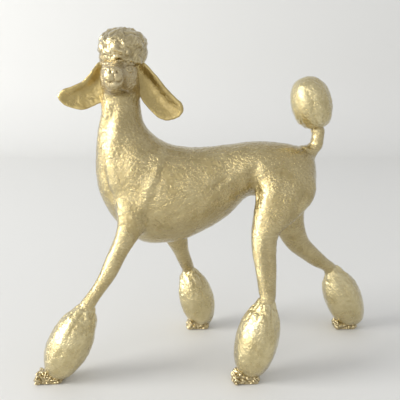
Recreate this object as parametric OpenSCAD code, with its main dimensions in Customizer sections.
// Standing show poodle, a decorative figurine.
// A hollow cast body carries separately cast legs, head, ears and tail, each with a round
// peg in a round socket. Pompoms are hollow beads between the leg pegs and the paw pegs.
// The dog faces -X, its left side is -Y, and the flat soles of its paws are on Z = 0.

/* [Stance] */
// Distance between the left and the right paws
stance_width = 98; // [92:1:106]
// Outward lean of the leg pompoms, in degrees
splay = 4; // [0:1:8]

/* [Head] */
// Turn of the head from straight out to the dog's left, in degrees
head_turn = 3; // [0:1:12]
// Width of the topknot
topknot_width = 40; // [36:1:46]
// Height of the topknot above the skull
topknot_height = 28; // [24:1:32]
// Thickness of an ear at its middle
ear_thickness = 4.5; // [3.5:0.5:6]

/* [Pompoms] */
// Length of the near foreleg pompom along its leg; the other three follow it
pompom_length = 65; // [62:1:68]
// Width of that pompom
pompom_width = 36; // [33:0.5:38]
// Length of the tail pompom
tail_pompom_length = 46; // [42:1:50]
// Width of the tail pompom
tail_pompom_width = 34; // [30:1:38]

/* [Casting] */
// Wall of the hollow castings
wall = 4; // [3:0.5:5]
// Diameter of the pegs between body and legs
peg_d = 11; // [8:0.5:12]
// Length of those pegs
peg_length = 10; // [6:1:12]
// Gap between a peg and its socket, all round
peg_gap = 0.1; // [0.05:0.05:0.2]
// Diameter of the vent in the belly
vent_d = 5; // [4:0.5:7]

/* [Hidden] */

gold = [0.83, 0.74, 0.47];
$fn = 48;

left = -1;              // sign of Y on the dog's left
right = 1;
neck_seat_z = 227;      // plane where the head sits on the neck
skull_top_z = 252;      // plane where the topknot sits on the skull
topknot_x = -77.5;
head_x = -79;           // axis about which the head is turned
paw_top = 7.5;          // height of a paw's flat top
body_sides = 32;        // points round a body section
limb_sides = 20;        // points round a leg, ear or tail section
steps = 3;              // sections made between two given ones

// ---- curves and lofts ----

// A point of the smooth curve through four values, between the middle two.
function through(a, b, c, d, t) =
    0.5 * (2 * b + (c - a) * t + (2 * a - 5 * b + 4 * c - d) * t * t
           + (3 * b - a - 3 * c + d) * t * t * t);

// The list with `steps` smooth values from each entry to the next.
function smoothed(list) =
    let (last = len(list) - 1)
    [for (i = [0 : last - 1]) for (k = [0 : steps - 1])
        through(list[max(i - 1, 0)], list[i], list[i + 1], list[min(i + 2, last)], k / steps),
     list[last]];

function part_of(list, from, to) = [for (i = [from : to]) list[i]];

// A section is [x1, z1, x2, z2, half_width, y]: an ellipse whose one diameter runs from
// (x1, z1) to (x2, z2) in side view, and whose other lies along Y about y.
function section(s, sides) =
    [for (k = [0 : sides - 1]) let (a = 360 * k / sides)
        [(s[0] + s[2]) / 2 + (s[0] - s[2]) / 2 * cos(a),
         s[5] + s[4] * sin(a),
         (s[1] + s[3]) / 2 + (s[1] - s[3]) / 2 * cos(a)]];

// Closed solid over a list of rings of equal length.
module skin(rings, flip = false) {
    n = len(rings[0]);
    last = len(rings) - 1;
    sides = [for (i = [0 : last - 1]) for (k = [0 : n - 1]) let (m = (k + 1) % n)
        each [[i * n + k, i * n + m, (i + 1) * n + m],
              [i * n + k, (i + 1) * n + m, (i + 1) * n + k]]];
    start = [for (k = [1 : n - 2]) [0, k + 1, k]];
    end = [for (k = [1 : n - 2]) [last * n, last * n + k, last * n + k + 1]];
    faces = concat(sides, start, end);
    polyhedron(points = [for (r = rings) each r],
               faces = flip ? [for (f = faces) [f[2], f[1], f[0]]] : faces);
}

module loft(sections, sides = limb_sides, flip = false) {
    skin([for (s = sections) section(s, sides)], flip);
}

// ---- body ----

// Upper and lower outline and half width of the body, from the rump to the top of the neck.
body_outline = [
    [79, 174, 80.5, 156, 7],
    [75.5, 181, 80, 144, 16],
    [67, 184.5, 75, 134, 22],
    [55, 187, 58, 131, 25],
    [40, 188.5, 40, 138, 26],
    [24, 188, 26, 143.5, 24.5],
    [8, 186, 10, 129.5, 25],
    [-8, 184, -6, 117, 28],
    [-24, 184, -24, 107, 30],
    [-37, 185.5, -43, 102.5, 31],
    [-47, 189.5, -64, 103.5, 30.5],
    [-54.5, 195, -84, 118, 28],
    [-60, 201, -97, 138, 25],
    [-63.5, 208, -102, 160, 21.5],
    [-65, 215, -101.5, 181, 18.5],
    [-65.2, 221, -99.2, 199, 16.5],
    [-65, 225, -98, 215, 15.7],
    [-65, neck_seat_z, -97, neck_seat_z, 15.5]];

function centred(outline, y = 0) = [for (s = outline) concat(s, [y])];

// The same outline moved in by the wall, for the hollow.
function inset(s, by) =
    let (dx = (s[0] - s[2]) / 2, dz = (s[1] - s[3]) / 2,
         k = 1 - by / sqrt(dx * dx + dz * dz),
         mx = (s[0] + s[2]) / 2, mz = (s[1] + s[3]) / 2)
    [mx + dx * k, mz + dz * k, mx - dx * k, mz - dz * k, s[4] - by, 0];

hollow = [for (i = [3 : 13]) inset(body_outline[i], wall)];
vent_x = -18;

// ---- legs ----

// Sections of each leg from inside the body down to the pompom, with Y given as a share of
// half the stance.
foreleg_left_sections = [
    [-82, 166, -54, 162, 4, -0.24],
    [-86, 152, -50, 145, 9.5, -0.34],
    [-84, 138, -54, 128, 12, -0.43],
    [-82.5, 124, -62, 115.5, 10.5, -0.52],
    [-85.3, 112.5, -70.5, 105.5, 8.5, -0.62],
    [-91, 100, -78.5, 94.5, 7, -0.7],
    [-96.5, 87, -86, 81.5, 6, -0.78],
    [-103, 74.5, -94, 70, 5.3, -0.87]];
foreleg_right_sections = [
    [-70, 156, -34, 156, 4, 0.22],
    [-66, 140, -29, 141, 10, 0.33],
    [-60, 122, -28, 124, 11.5, 0.42],
    [-51, 104.5, -27.5, 106.5, 9.5, 0.54],
    [-44.5, 91.5, -26.6, 94, 7.6, 0.64],
    [-39.3, 82, -25.8, 83.5, 6.4, 0.73],
    [-35.6, 71.5, -23.3, 73, 5.6, 0.83]];
hindleg_left_sections = [
    [42, 182, 68, 182, 4, -0.2],
    [34, 168, 76, 166, 9, -0.34],
    [30, 154, 79.5, 151, 12.5, -0.41],
    [29, 140, 75, 140.5, 13, -0.47],
    [27.5, 129, 62, 128, 12, -0.54],
    [26.2, 117.5, 49, 117.5, 10, -0.63],
    [27, 104.5, 45, 104.5, 8, -0.72],
    [29.5, 93, 44.5, 93, 6.8, -0.8],
    [31.2, 82, 44.5, 82, 6, -0.87],
    [32.4, 73, 44.6, 73, 5.8, -0.92]];
hindleg_right_sections = [
    [44, 180, 70, 180, 4, 0.2],
    [40, 166, 77, 166, 9, 0.34],
    [42, 148, 80, 150, 12, 0.42],
    [46, 130, 80, 134, 12, 0.5],
    [51, 113.5, 79.8, 121, 10.5, 0.58],
    [58.5, 99, 81.5, 109, 8.8, 0.66],
    [68.5, 85.5, 87, 95, 7.2, 0.75],
    [80, 76, 95.5, 83.5, 6.3, 0.83],
    [92, 67, 104.5, 73, 5.9, 0.9]];

// A pompom is [x, z, tilt, length, width, side, forward]: its middle in side view, the
// lean of its axis towards +X, its two sizes, the side it is on, and how far the middle of
// its paw lies ahead of its lower end.
foreleg_left_pompom = [-120, 32.5, 27, pompom_length, pompom_width, left, 1];
foreleg_right_pompom = [-18, 32.5, -16, 0.89 * pompom_length, 0.89 * pompom_width, right, 6];
hindleg_left_pompom = [31, 36, 13, 0.98 * pompom_length, 0.97 * pompom_width, left, 1];
hindleg_right_pompom = [122, 33, -24, 0.95 * pompom_length, 0.98 * pompom_width, right, 6];

// A limb is its sections, its pompom, and the section where it is cut from the body.
foreleg_left = [foreleg_left_sections, foreleg_left_pompom, 4];
foreleg_right = [foreleg_right_sections, foreleg_right_pompom, 3];
hindleg_left = [hindleg_left_sections, hindleg_left_pompom, 5];
hindleg_right = [hindleg_right_sections, hindleg_right_pompom, 4];

leg_end_r = 5.4;        // radius of a leg where it enters its pompom
leg_end_depth = 3;      // how far the leg's full width goes in
leg_peg_r = 3.5;        // peg beyond it
leg_peg_length = 9;
paw_peg_r = 3.5;
paw_peg_length = 9;
paw_length = 25;
paw_width = 15;

function pompom_middle(p) = [p[0], p[5] * stance_width / 2, p[1]];
function pompom_axis(p) =
    [cos(splay) * sin(p[2]), -sin(p[5] * splay), cos(splay) * cos(p[2])];
function pompom_top(p) = pompom_middle(p) + pompom_axis(p) * p[3] / 2;
function pompom_foot(p) = pompom_middle(p) - pompom_axis(p) * p[3] / 2;
function paw_middle(p) = [pompom_foot(p)[0] - p[6], pompom_foot(p)[1], 0];

// Round section of radius r square to the pompom's axis, `along` above its upper end.
function end_section(p, along, r) =
    let (c = pompom_top(p) + along * pompom_axis(p))
    [c[0] - r * cos(p[2]), c[2] + r * sin(p[2]),
     c[0] + r * cos(p[2]), c[2] - r * sin(p[2]), r, c[1]];

function whole_leg(limb) =
    smoothed(concat(
        [for (s = limb[0]) [s[0], s[1], s[2], s[3], s[4], s[5] * stance_width / 2]],
        [end_section(limb[1], 2, leg_end_r), end_section(limb[1], -leg_end_depth, leg_end_r)]));

function seam_section(limb) = whole_leg(limb)[limb[2] * steps];
function seam_middle(s) = [(s[0] + s[2]) / 2, s[5], (s[1] + s[3]) / 2];
function seam_tilt(s) = atan2(s[1] - s[3], s[2] - s[0]);

// The part of a leg above its seam, which is cast with the body.
module leg_stub(limb) {
    loft(part_of(whole_leg(limb), 0, limb[2] * steps), flip = true);
}

// A round peg or socket that stands up from a leg's seam.
module seam_peg(limb, grow) {
    s = seam_section(limb);
    translate(seam_middle(s)) rotate([0, seam_tilt(s), 0])
        translate([0, 0, -1 - grow]) cylinder(r = peg_d / 2 + grow, h = peg_length + 1 + 2 * grow);
}

module leg(limb) {
    rings = whole_leg(limb);
    p = limb[1];
    color(gold) union() {
        loft(part_of(rings, limb[2] * steps, len(rings) - 1), flip = true);
        seam_peg(limb, 0);
        at_pompom(p) translate([0, 0, p[3] / 2 - leg_end_depth - leg_peg_length])
            cylinder(r = leg_peg_r, h = leg_peg_length + 1);
    }
}

module body_shell() color(gold) difference() {
    union() {
        loft(smoothed(centred(body_outline)), body_sides, flip = true);
        leg_stub(foreleg_left);
        leg_stub(foreleg_right);
        leg_stub(hindleg_left);
        leg_stub(hindleg_right);
    }
    loft(smoothed(hollow), limb_sides, flip = true);
    seam_peg(foreleg_left, peg_gap);
    seam_peg(foreleg_right, peg_gap);
    seam_peg(hindleg_left, peg_gap);
    seam_peg(hindleg_right, peg_gap);
    neck_peg(peg_gap);
    tail_peg(peg_gap);
    tail_seat();
    translate([vent_x, 0, 96]) cylinder(d = vent_d, h = 20);
}

// ---- pompoms and paws ----

module at_pompom(p) {
    translate(pompom_middle(p)) rotate([p[5] * splay, p[2], 0]) children();
}

// Half an ellipse, for turning about Z.
module half_ellipse(length, width, points = 32) {
    polygon([for (k = [0 : points]) let (a = -90 + 180 * k / points)
        [k == 0 || k == points ? 0 : width / 2 * cos(a), length / 2 * sin(a)]]);
}

module bead(length, width) {
    rotate_extrude() half_ellipse(length, width);
}

module leg_pompom(p) color(gold) difference() {
    at_pompom(p) bead(p[3], p[4]);
    at_pompom(p) bead(p[3] - 6 * wall, p[4] - 2 * wall);
    at_pompom(p) translate([0, 0, p[3] / 2 - leg_end_depth - 0.3])
        cylinder(r = leg_end_r + 2 * peg_gap, h = 10);
    at_pompom(p) translate([0, 0, p[3] / 2 - leg_end_depth - leg_peg_length - 1])
        cylinder(r = leg_peg_r + peg_gap, h = leg_peg_length + 2);
    translate(pompom_foot(p)) translate([-40, -40, paw_top - 80 - pompom_foot(p)[2]]) cube(80);
    translate([pompom_foot(p)[0], pompom_foot(p)[1], paw_top - 1])
        cylinder(r = paw_peg_r + peg_gap, h = paw_peg_length + 2);
}

toes = 4;
toe_r = 2.9;

// Sole and instep with four toes at the front, flat below and flat above.
module paw(p) {
    foot = pompom_foot(p);
    middle = paw_middle(p);
    front = -paw_length / 2 + toe_r;
    color(gold) union() {
        intersection() {
            translate(middle) union() {
                hull() {
                    for (y = [-1, 1]) {
                        translate([front + 4, y * 3, 1.5]) sphere(r = 4.4, $fn = 24);
                        translate([paw_length / 2 - 5, y * 2.3, 2]) sphere(r = 5, $fn = 24);
                        translate([2, y * 1.5, 4]) sphere(r = 5.5, $fn = 24);
                    }
                }
                for (i = [0 : toes - 1]) let (a = (i - (toes - 1) / 2) * 26)
                    translate([front + 4 - 4 * cos(a), 0.42 * paw_width * sin(a) / sin(39), toe_r - 0.7])
                        sphere(r = toe_r);
            }
            translate([middle[0] - 30, middle[1] - 30, 0]) cube([60, 60, paw_top]);
        }
        translate([foot[0], foot[1], paw_top - 2]) cylinder(r = paw_peg_r, h = paw_peg_length + 2);
    }
}

// ---- head ----

module at_head() {
    translate([head_x, 0, 0]) rotate([0, 0, -head_turn]) children();
}

// [y, half_width, low z, high z] of the head, from the back of the skull to the nose.
head_outline = [
    [21, 5, 238, 249],
    [18.5, 10, 230, 253],
    [11, 13.6, 224, 256],
    [1, 14.8, 222, 257],
    [-7, 14.4, 222.5, 256],
    [-14, 12.6, 225, 254],
    [-20, 10.2, 228, 251.5],
    [-27, 8.8, 229, 250],
    [-33, 8, 229.5, 249],
    [-36.5, 6.4, 231, 248],
    [-38.5, 3.2, 235, 246.5]];

// 1 is an ellipse, smaller is nearer to a rectangle.
head_squareness = 0.72;
function squared(v) = sign(v) * pow(abs(v), head_squareness);

function head_section(s) =
    [for (k = [0 : 27]) let (a = 360 * k / 28)
        [s[1] * squared(sin(a)), s[0],
         (s[2] + s[3]) / 2 + (s[3] - s[2]) / 2 * squared(cos(a))]];

neck_peg_r = 8;
neck_peg_length = 12;
crown_peg_r = 6;
crown_peg_length = 8;
ear_peg_r = 2.6;
ear_peg_length = 5;
ear_seat_x = 13;        // distance of an ear's seat from the head's middle plane
ear_seat_z = 247.5;

module neck_peg(grow) {
    translate([head_x, 0, neck_seat_z - neck_peg_length - grow])
        cylinder(r = neck_peg_r + grow, h = neck_peg_length + 2 * grow + 1);
}

module crown_peg(grow) {
    translate([head_x, 2, skull_top_z - 1])
        cylinder(r = crown_peg_r + grow, h = crown_peg_length + 1 + grow);
}

// A peg that lies along X, into the head's side.
module ear_peg(side, grow) {
    translate([side * (ear_seat_x - ear_peg_length - grow), 1, ear_seat_z]) rotate([0, side * 90, 0])
        cylinder(r = ear_peg_r + grow, h = ear_peg_length + 1 + grow);
}

// Flat seat cut for an ear, out to beyond the skull.
module ear_seat(side) {
    translate([side > 0 ? ear_seat_x : -ear_seat_x - 10, -4, ear_seat_z - 7]) cube([10, 10, 14]);
}

module head() color(gold) union() {
    difference() {
        at_head() difference() {
            skin([for (s = smoothed(head_outline)) head_section(s)]);
            for (side = [-1, 1]) {
                ear_seat(side);
                ear_peg(side, peg_gap);
            }
        }
        translate([head_x - 30, -60, neck_seat_z - 40]) cube([60, 120, 40]);
        translate([head_x - 30, -60, skull_top_z]) cube([60, 120, 40]);
    }
    neck_peg(0);
    crown_peg(0);
}

// Half outline of the topknot, a cap with full sides that turns in at its lower edge.
module topknot_outline() {
    widest = topknot_width / 2;
    level = 0.47 * topknot_height;
    polygon(concat(
        [[0, 0]],
        [for (a = [-90 : 10 : 0]) [widest * (0.8 + 0.2 * cos(a)), level * (1 + sin(a))]],
        [for (a = [6 : 6 : 84]) [widest * pow(cos(a), 0.95), level + (topknot_height - level) * sin(a)]],
        [[0, topknot_height]]));
}

module topknot() color(gold) difference() {
    translate([topknot_x, 1, skull_top_z]) rotate_extrude() topknot_outline();
    crown_peg(peg_gap);
}

// ---- ears ----

// An ear section is [x1, z1, x2, z2, y]: its outer and its inner edge in front view, from
// the head's middle plane, and the depth of both.
ear_right_outline = [
    [-ear_seat_x, 251.5, -ear_seat_x, 244, 1],
    [-20, 247, -16, 240, 0.5],
    [-25.5, 241, -17, 229.5, -1],
    [-31, 237, -21.2, 220.5, -2.5],
    [-38, 234.5, -28.5, 215.5, -4],
    [-45, 232.5, -38, 215, -5],
    [-50, 229, -45.5, 217.5, -5.5],
    [-52, 226, -50, 222, -5.5]];
ear_left_outline = [
    [ear_seat_x, 251.5, ear_seat_x, 244, 1],
    [21, 247, 16, 240, 0.5],
    [27.5, 240.5, 16.2, 229, -1],
    [34, 234, 18, 220.5, -2.5],
    [40.5, 227.5, 23.5, 213.5, -4],
    [46, 222.5, 30, 208.5, -5],
    [49.5, 217, 38, 206.5, -5.5],
    [49.5, 212.5, 45, 207.5, -5.5]];
ear_cup = 4;            // depth of the hollow of an ear's inner face
ear_root_thickness = 4;

// A bent lens: the inner face, towards -Y, is hollow, and the edges are round.
function ear_section(s, cup, thickness) =
    [for (k = [0 : limb_sides - 1]) let (a = 360 * k / limb_sides, c = cos(a))
        [(s[0] + s[2]) / 2 + (s[0] - s[2]) / 2 * c,
         s[4] + cup * (1 - c * c) + thickness / 2 * sin(a),
         (s[1] + s[3]) / 2 + (s[1] - s[3]) / 2 * c]];

module ear(outline, side) {
    sections = smoothed(outline);
    last = len(sections) - 1;
    color(gold) at_head() union() {
        skin([for (i = [0 : last]) let (t = i / last)
            ear_section(sections[i], ear_cup * sin(180 * pow(t, 0.7)),
                        ear_root_thickness + (ear_thickness - ear_root_thickness) * sin(90 * t))],
             flip = side < 0);
        ear_peg(side, 0);
    }
}

// ---- tail ----

tail_pompom_middle = [76.5, 219.5];
tail_pompom_tilt = -15;
tail_r = 4.8;
tail_peg_r = 4.5;
tail_root = [66, 171];  // inner end of the tail's peg, inside the rump
tail_root_tilt = 48;
tail_peg_length = 12;
tail_root_r = 6.2;
tail_root_x = tail_root[0] + tail_peg_length * sin(tail_root_tilt);
tail_root_z = tail_root[1] + tail_peg_length * cos(tail_root_tilt);

module at_tail_pompom() {
    translate([tail_pompom_middle[0], 0, tail_pompom_middle[1]]) rotate([0, tail_pompom_tilt, 0])
        children();
}

module tail_peg(grow) {
    translate([tail_root[0], 0, tail_root[1]]) rotate([0, tail_root_tilt, 0])
        translate([0, 0, -grow]) cylinder(r = tail_peg_r + grow, h = tail_peg_length + 2);
}

// Round flat seat cut in the rump for the tail's root.
module tail_seat() {
    translate([tail_root[0], 0, tail_root[1]]) rotate([0, tail_root_tilt, 0])
        translate([0, 0, tail_peg_length]) cylinder(r = tail_root_r + 2 * peg_gap, h = 20);
}

// A round section of the tail about (x, z), its normal leaning by tilt towards +X.
function tail_section(x, z, tilt, r) =
    [x - r * cos(tilt), z + r * sin(tilt), x + r * cos(tilt), z - r * sin(tilt), r, 0];

tail_end = tail_pompom_length / 2;
tail_end_x = tail_pompom_middle[0] - tail_end * sin(tail_pompom_tilt);
tail_end_z = tail_pompom_middle[1] - tail_end * cos(tail_pompom_tilt);

module tail_stem() color(gold) union() {
    loft(smoothed([
        tail_section(tail_root_x, tail_root_z, tail_root_tilt, tail_root_r),
        tail_section(tail_root_x + 3.5, tail_root_z + 3.6, 38, tail_r + 0.8),
        tail_section(tail_root_x + 6, tail_root_z + 8.5, 10, tail_r + 0.2),
        tail_section(tail_end_x + 0.5, tail_end_z - 1.9, tail_pompom_tilt, tail_r - 0.2),
        tail_section(tail_end_x - 0.5, tail_end_z + 1.9, tail_pompom_tilt, tail_r - 0.2)]));
    tail_peg(0);
    at_tail_pompom() translate([0, 0, 1 - tail_end]) cylinder(r = leg_peg_r, h = 9);
}

module tail_pompom() color(gold) difference() {
    at_tail_pompom() bead(tail_pompom_length, tail_pompom_width);
    at_tail_pompom() translate([0, 0, 1.5])
        bead(tail_pompom_length - 5 * wall, tail_pompom_width - 2 * wall);
    at_tail_pompom() translate([0, 0, -tail_end - 5]) cylinder(r = tail_r - 0.1, h = 8.3);
    at_tail_pompom() translate([0, 0, -tail_end]) cylinder(r = leg_peg_r + peg_gap, h = 11);
}

// ---- nodes ----

// Moves the dog so that the middle of its box is above the origin.
module placed() {
    translate([2.9, 0.2, 0]) children();
}

placed() body_shell();
placed() head();
placed() topknot();
placed() ear(ear_left_outline, 1);  // ear_left
placed() ear(ear_right_outline, -1);  // ear_right
placed() leg(foreleg_left);
placed() leg(foreleg_right);
placed() leg(hindleg_left);
placed() leg(hindleg_right);
placed() leg_pompom(foreleg_left_pompom);  // foreleg_pompom_left
placed() leg_pompom(foreleg_right_pompom);  // foreleg_pompom_right
placed() leg_pompom(hindleg_left_pompom);  // hindleg_pompom_left
placed() leg_pompom(hindleg_right_pompom);  // hindleg_pompom_right
placed() paw(foreleg_left_pompom);  // forepaw_left
placed() paw(foreleg_right_pompom);  // forepaw_right
placed() paw(hindleg_left_pompom);  // hindpaw_left
placed() paw(hindleg_right_pompom);  // hindpaw_right
placed() tail_stem();
placed() tail_pompom();
